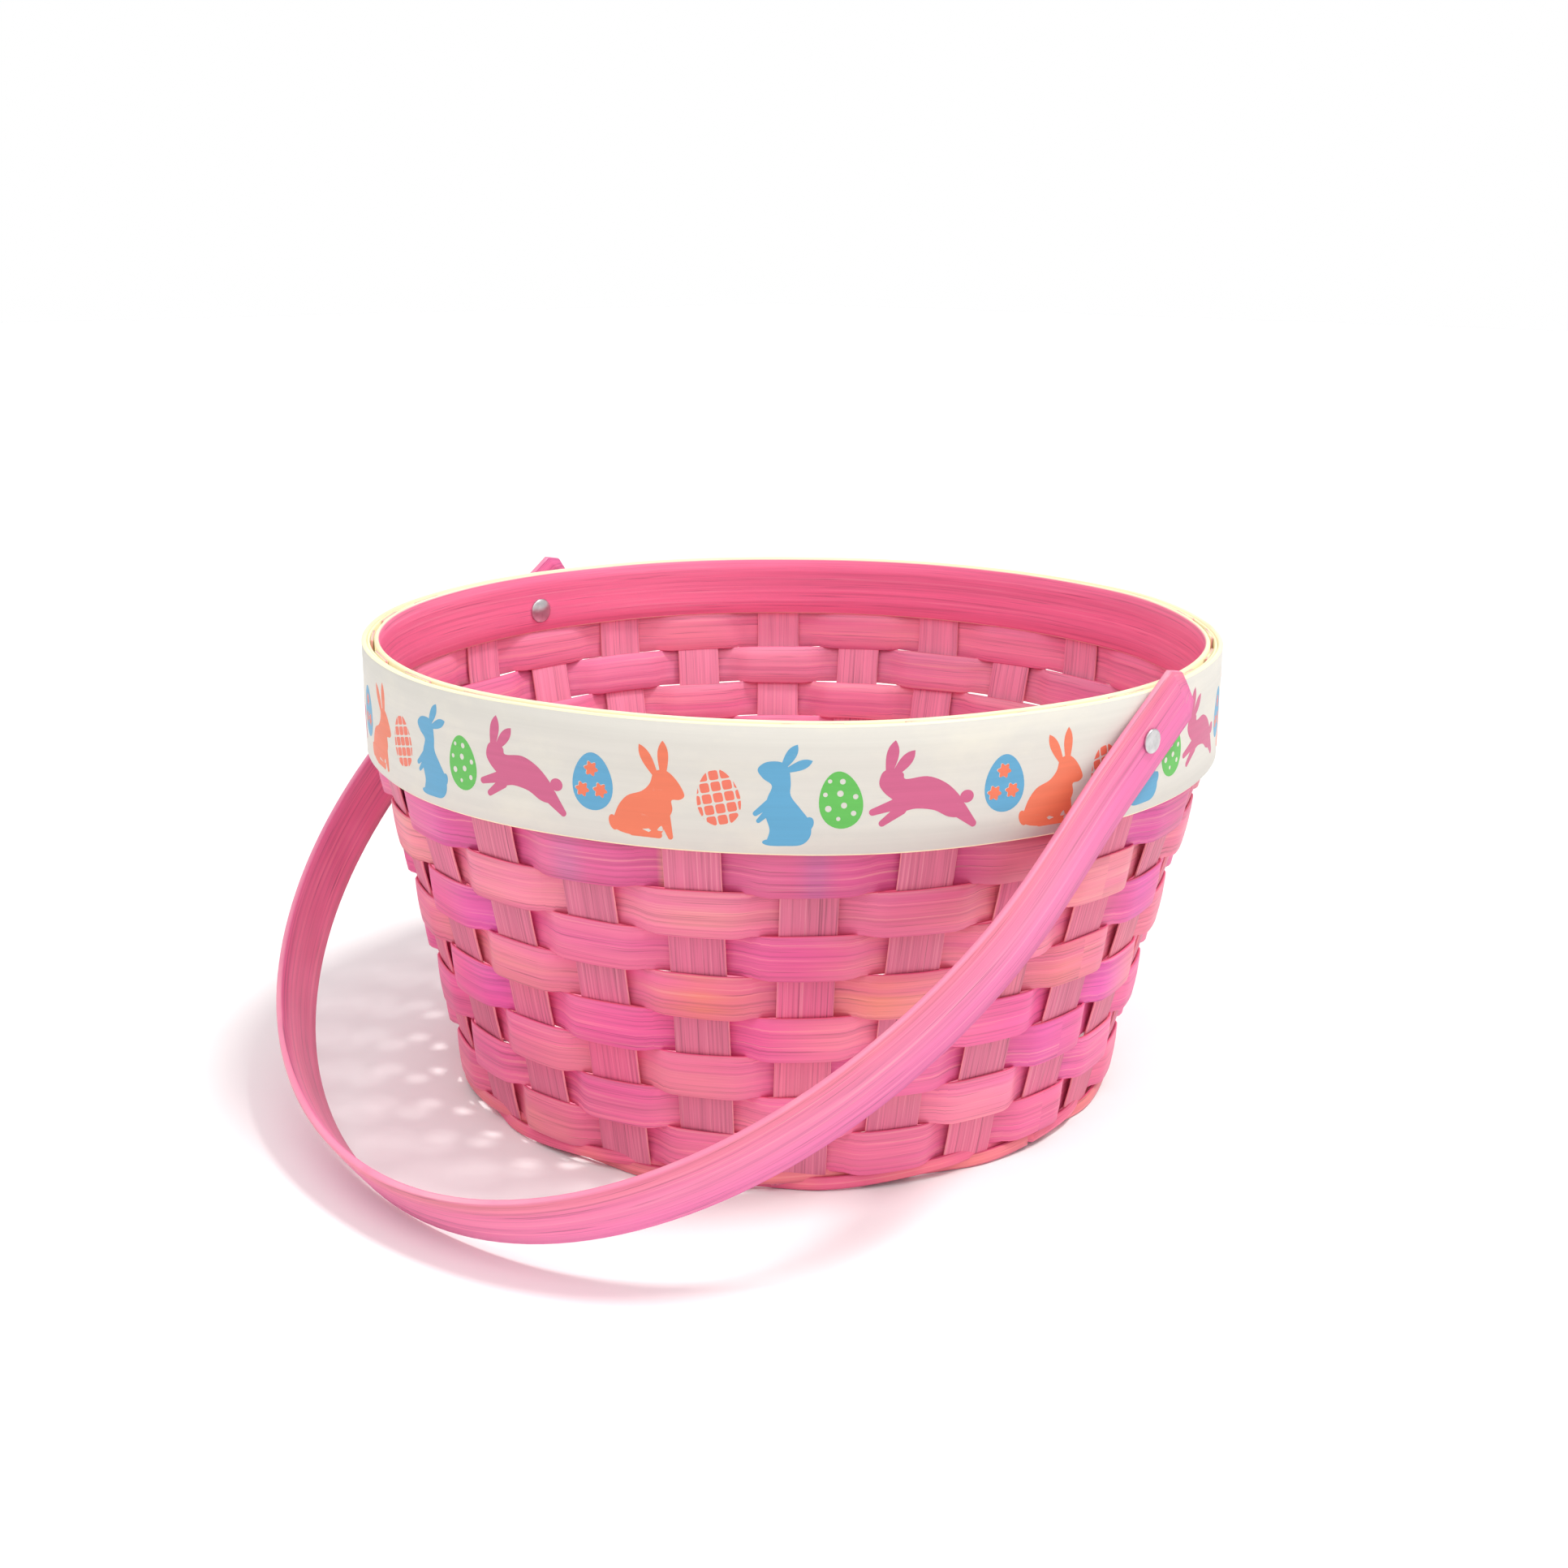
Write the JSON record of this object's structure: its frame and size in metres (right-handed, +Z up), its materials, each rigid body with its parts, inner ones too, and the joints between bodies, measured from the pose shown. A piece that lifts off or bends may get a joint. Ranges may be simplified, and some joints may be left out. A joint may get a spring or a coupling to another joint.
{
  "type": "woven basket",
  "caption": "Round tapered splint basket with a printed rim band and a flat arched handle that swings on two rivets.",
  "frame": {"origin": "centre of the woven mat on the plane the basket rests on", "axes": "+Z up, X along the two rivets, the handle rests swung down towards -Y"},
  "size_m": [0.2879, 0.3208, 0.157],
  "materials": {
    "stake_splint": "matt dyed split wood, greyish pink, fine vertical grain",
    "weaver_pink": "satin dyed split wood, hot pink with long grain",
    "weaver_coral": "satin dyed split wood, coral pink with orange edges",
    "painted_band": "off-white paint on veneer with a printed frieze",
    "dyed_band": "dyed veneer, even pink with fine grain",
    "raw_wood": "undyed pale veneer",
    "dyed_handle": "satin dyed bent wood strip, pink with pale cut edges",
    "rivet_metal": "satin aluminium"
  },
  "bodies": {
    "basket": {"base_splint_long_1": "stake_splint", "base_splint_long_2": "stake_splint", "base_splint_long_3": "stake_splint", "base_splint_long_4": "stake_splint", "base_splint_long_5": "stake_splint", "base_splint_long_6": "stake_splint", "base_splint_long_7": "stake_splint", "base_splint_cross_1": "stake_splint", "base_splint_cross_2": "stake_splint", "base_splint_cross_3": "stake_splint", "base_splint_cross_4": "stake_splint", "base_splint_cross_5": "stake_splint", "base_splint_cross_6": "stake_splint", "weaver_row_1": "weaver_pink", "weaver_row_2": "weaver_coral", "weaver_row_3": "weaver_pink", "weaver_row_4": "weaver_coral", "weaver_row_5": "weaver_pink", "weaver_row_6": "weaver_coral", "weaver_row_7": "weaver_pink", "weaver_row_8": "weaver_coral", "weaver_row_9": "weaver_pink", "foot_strand_lower": "weaver_pink", "foot_strand_upper": "weaver_pink", "outer_band": "painted_band", "inner_band": "dyed_band", "rim_filler": "raw_wood", "rivet_right": "rivet_metal", "rivet_left": "rivet_metal"},
    "handle": {"handle": "dyed_handle"}
  },
  "joints": [
    {"name": "handle_swing", "type": "hinge", "parent": "basket", "child": "handle", "pos_m": [0, 0, 0.136], "axis": [1, 0, 0], "range_deg": [-252, 0]}
  ]
}
